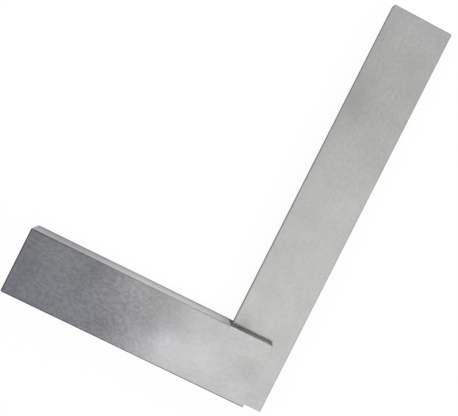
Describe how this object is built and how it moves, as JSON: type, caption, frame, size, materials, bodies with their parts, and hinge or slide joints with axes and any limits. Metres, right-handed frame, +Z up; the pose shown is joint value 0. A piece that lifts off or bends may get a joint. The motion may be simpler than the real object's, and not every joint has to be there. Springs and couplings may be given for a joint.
{
  "type": "steel try square",
  "caption": "Steel try square: a thick ground stock with a thin flat blade fixed at ninety degrees in its slotted end, for marking and checking right angles.",
  "frame": {"origin": "on the surface that the square lies on, under the middle of its bounding box", "axes": "+X along the stock towards the blade's outer edge, +Y along the blade to its tip, +Z up through the thickness"},
  "size_m": [0.1, 0.15, 0.013],
  "materials": {
    "stock_steel": "fine surface-ground steel, satin, with faint stains and handling marks",
    "blade_steel": "fine surface-ground steel, satin",
    "pin_steel": "steel dowel ends ground flush with the stock"
  },
  "bodies": {
    "root": {"stock": "stock_steel", "blade": "blade_steel", "dowel_pin_1": "pin_steel", "dowel_pin_2": "pin_steel", "dowel_pin_3": "pin_steel"}
  },
  "joints": []
}
